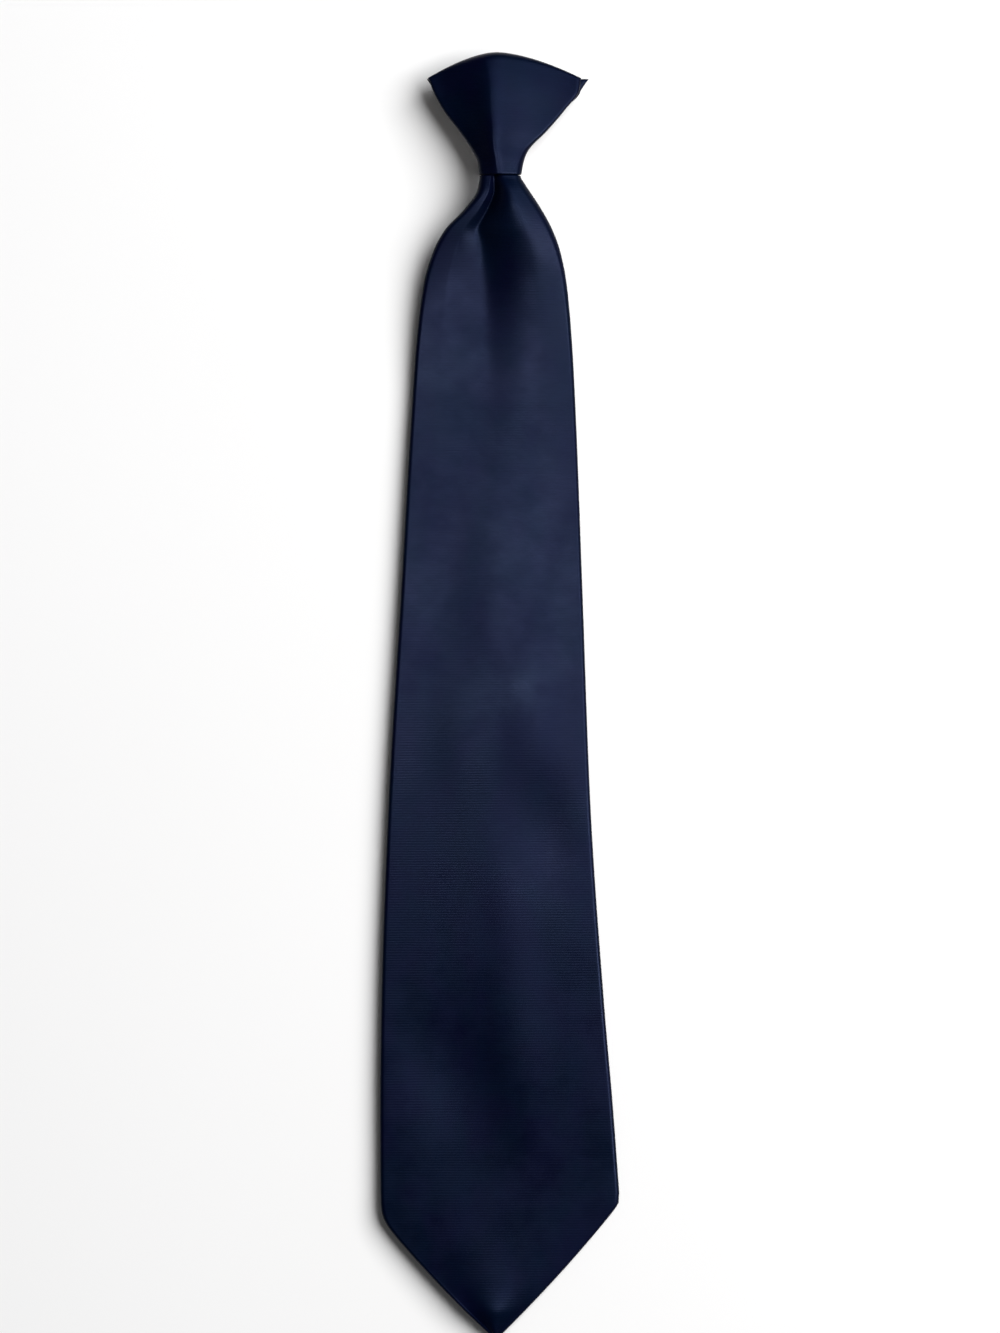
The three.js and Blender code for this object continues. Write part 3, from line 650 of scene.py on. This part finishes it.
# Noises. Scale is in changes per metre, one number or one for each axis, and a low one gives long marks.
STRAYS = {"scale": (60, 220, 1), "detail": 3.0}
SLUBS = {"scale": (160, 2600, 1), "detail": 3.0, "roughness": 0.6}
GRAIN = {"scale": 2600.0, "roughness": 0.6}
CLOUDS = {"scale": 38.0, "detail": 3.0, "roughness": 0.55}
STREAKS = {"scale": (95, 9, 1)}
MOTTLE = {"scale": 120.0, "detail": 3.0, "roughness": 0.6}
HUES = {"scale": (60, 45, 60), "roughness": 0.6}
STROKES = {"scale": (9000, 260, 9000), "detail": 3.0, "roughness": 0.6}
SMUDGES = {"scale": 160.0, "detail": 3.0}
FLOOR_CLOUDS = {"scale": 6.0, "detail": 3.0}


class Nodes:
    """Short calls for building one material."""

    def __init__(self, name):
        self.material = bpy.data.materials.new(name)
        self.material.use_nodes = True
        self.tree = self.material.node_tree
        self.shader = self.tree.nodes["Principled BSDF"]

    def feed(self, socket, value):
        if isinstance(value, bpy.types.NodeSocket):
            self.tree.links.new(value, socket)
        else:
            socket.default_value = value

    def node(self, kind, **inputs):
        made = self.tree.nodes.new(kind)
        for name, value in inputs.items():
            self.feed(made.inputs[name.replace("_", " ")], value)
        return made

    def math(self, operation, a, b):
        made = self.tree.nodes.new("ShaderNodeMath")
        made.operation = operation
        self.feed(made.inputs[0], a)
        self.feed(made.inputs[1], b)
        return made.outputs[0]

    def total(self, first, *others):
        """The sum of all values."""
        for other in others:
            first = self.math("ADD", first, other)
        return first

    def ramp(self, value, low, high, start=0.0, end=1.0):
        """From start where the value is low to end where it is high."""
        made = self.node("ShaderNodeMapRange", Value=value)
        for name, number in (("From Min", low), ("From Max", high), ("To Min", start), ("To Max", end)):
            made.inputs[name].default_value = number
        return made.outputs["Result"]

    def blend(self, share, first, second):
        """A colour between two colours."""
        made = self.tree.nodes.new("ShaderNodeMix")
        made.data_type = "RGBA"
        for place, value in ((0, share), (6, first), (7, second)):
            self.feed(made.inputs[place], value)
        return made.outputs[2]

    def noise(self, vector, scale, detail=2.0, roughness=0.5):
        if isinstance(scale, tuple):
            vector = self.node("ShaderNodeMapping", Vector=vector, Scale=scale).outputs[0]
            scale = 1.0
        made = self.node("ShaderNodeTexNoise", Vector=vector, Scale=scale, Detail=detail, Roughness=roughness)
        return made.outputs["Fac"]

    def place(self):
        return self.node("ShaderNodeTexCoord").outputs["Object"]

    def bumps(self, height, strength, depth):
        bump = self.node("ShaderNodeBump", Strength=strength, Distance=depth, Height=height)
        self.feed(self.shader.inputs["Normal"], bump.outputs[0])

    def surface(self, name, value):
        self.feed(self.shader.inputs[name], value)


def satin(name):
    """Navy satin with fine ribs across the tie: weft ribs, finer warp threads, slubs and a soft
    cloudiness of tone, gloss and hue."""
    n = Nodes(name)
    uv = n.node("ShaderNodeUVMap")
    uv.uv_map = "cloth"
    flat = uv.outputs[0]
    parts = n.node("ShaderNodeSeparateXYZ", Vector=flat)
    stray = RIB_STRAY * RIB * MM
    along = n.math("ADD", parts.outputs["Y"], n.ramp(n.noise(flat, **STRAYS), 0, 1, -stray, stray))
    ribs = n.math("SINE", n.math("MULTIPLY", along, 2 * math.pi / (RIB * MM)), 0)
    warp = n.math("SINE", n.math("MULTIPLY", parts.outputs["X"], 2 * math.pi / (WARP * MM)), 0)
    slub = n.noise(flat, **SLUBS)
    grain = n.noise(flat, **GRAIN)
    place = n.place()
    cloud = n.noise(place, **CLOUDS)
    streak = n.noise(place, **STREAKS)
    mottle = n.noise(place, **MOTTLE)
    hue = n.noise(place, **HUES)

    # Each layer's share of the weave's height
    weave = ((ribs, 0.30), (warp, 0.10), (slub, 0.55), (grain, 0.35))
    height = n.total(*(n.math("MULTIPLY", layer, share) for layer, share in weave))
    n.bumps(height, WEAVE_STRENGTH, WEAVE_DEPTH)

    # The last number is how far each layer goes from the darkest shade to the lightest
    tone = n.total(
        n.ramp(ribs, -1, 1, 0, 0.14),
        n.ramp(slub, 0.3, 0.7, 0, 0.38),
        n.ramp(cloud, 0.35, 0.65, 0, 0.3),
        n.ramp(streak, 0.35, 0.65, 0, 0.2),
    )
    n.surface("Base Color", n.blend(n.ramp(hue, 0.38, 0.62), n.blend(tone, *TEAL), n.blend(tone, *VIOLET)))
    rough = n.total(
        n.ramp(cloud, 0.34, 0.66, 0.325, 0.435),
        n.ramp(mottle, 0.3, 0.7, -0.04, 0.04),
        n.ramp(grain, 0.3, 0.7, -0.03, 0.03),
    )
    n.surface("Roughness", rough)
    n.surface("Specular IOR Level", 0.06)
    n.surface("Specular Tint", GLOSS_TINT)
    return n.material


def brushed_steel(name):
    """Steel with fine strokes along the strip and faint smudges."""
    n = Nodes(name)
    place = n.place()
    strokes = n.noise(place, **STROKES)
    smudge = n.noise(place, **SMUDGES)
    n.bumps(strokes, BRUSH_STRENGTH, BRUSH_DEPTH)
    n.surface("Base Color", n.blend(smudge, *STEEL))
    rough = n.total(n.ramp(strokes, 0.3, 0.7, 0.2, 0.34), n.ramp(smudge, 0.3, 0.7, -0.03, 0.06))
    n.surface("Roughness", rough)
    n.surface("Metallic", 1)
    return n.material


def pale_floor(name):
    n = Nodes(name)
    cloud = n.noise(n.place(), **FLOOR_CLOUDS)
    n.surface("Base Color", n.blend(cloud, *FLOOR_WHITE))
    n.surface("Roughness", 0.85)
    n.surface("Specular IOR Level", 0.2)
    return n.material


# Assembly

tie_satin = satin("navy_satin")
steel = brushed_steel("hook_metal")

blade_cloth = make_blade()
knot_cloth = make_knot()
panel_cloth = make_panel()
hook_strip = make_hook()

for piece, node, slot, material in (
    (blade_cloth, "blade", "tie_fabric", tie_satin),
    (knot_cloth, "knot", "tie_fabric", tie_satin),
    (panel_cloth, "wing_panel", "tie_fabric", tie_satin),
    (hook_strip, "collar_hook", "hook_steel", steel),
):
    piece.data.materials.append(material)
    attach(piece, "root")
    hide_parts(node)

# Floor, in metres

FLOOR_REACH = 4
FLOOR_GAP = 0.0002  # the floor lies this far under the tie

floor_mesh = bmesh.new()
bmesh.ops.create_grid(floor_mesh, x_segments=2, y_segments=2, size=FLOOR_REACH)
floor_data = bpy.data.meshes.new("floor")
floor_mesh.to_mesh(floor_data)
floor_mesh.free()
floor = bpy.data.objects.new("floor", floor_data)
floor.location = (0, 0, -FLOOR_GAP)
floor.data.materials.append(pale_floor("floor_white"))
bpy.context.scene.collection.objects.link(floor)

# Light, in metres and watts: one large soft box, and four reflectors that show in the gloss alone

KEY = {"place": (1.64, 0.87, 2.22), "target": (0, 0, 0), "size": 2.4, "power": 140}
REFLECTORS = {
    "card": {"place": (0.06, 0.04, 0.45), "target": (0.06, 0.04, 0), "size": 0.15, "power": 2.8},
    "high_card": {"place": (-0.03, 0.12, 0.45), "target": (-0.03, 0.12, 0), "size": 0.17, "power": 0.8},
    "side_card": {"place": (0.45, 0.05, 0.6), "target": (0.45, 0.05, 0), "size": 0.17, "power": 3.1},
    "low_card": {"place": (0.492, -0.093, 0.472), "target": (0.01, 0.16, 0), "size": 0.2, "power": 9.5},
}
REFLECTOR_WARMTH = (1, 0.86, 0.71)
ROOM_LIGHT = 0.09


def soft_box(name, place, target, size, power):
    light = bpy.data.lights.new(name, "AREA")
    light.shape = "RECTANGLE"
    light.size, light.size_y = size, size
    light.energy = power
    box = bpy.data.objects.new(name, light)
    box.location = place
    aim = np.array(target) - np.array(place)
    aim = aim / np.linalg.norm(aim)
    box.rotation_euler = (math.acos(-aim[2]), 0, math.atan2(-aim[0], aim[1]))
    bpy.context.scene.collection.objects.link(box)
    return box


soft_box("key", **KEY)
for name, card in REFLECTORS.items():
    reflector = soft_box(name, **card)
    reflector.data.color = REFLECTOR_WARMTH
    reflector.visible_diffuse = False

world = bpy.data.worlds.new("studio")
world.use_nodes = True
world.node_tree.nodes["Background"].inputs["Color"].default_value = (1, 1, 1, 1)
world.node_tree.nodes["Background"].inputs["Strength"].default_value = ROOM_LIGHT
bpy.context.scene.world = world
bpy.context.scene.view_settings.view_transform = "Standard"

# Camera: straight above, with the point just out of the picture

CAMERA_X = 0.25
CAMERA_Y = 10.5
CAMERA_HEIGHT = 2400
PIXEL = 0.3565  # millimetres of floor to a pixel of the picture
PICTURE_HEIGHT = 1333  # pixels
SENSOR = 36  # millimetres
FAR_CLIP = 100  # metres

camera_data = bpy.data.cameras.new("camera")
camera_data.sensor_width = SENSOR
camera_data.lens = SENSOR * CAMERA_HEIGHT / (PICTURE_HEIGHT * PIXEL)
camera_data.clip_end = FAR_CLIP
camera = bpy.data.objects.new("camera", camera_data)
camera.location = (CAMERA_X * MM, CAMERA_Y * MM, CAMERA_HEIGHT * MM)
bpy.context.scene.collection.objects.link(camera)
bpy.context.scene.camera = camera
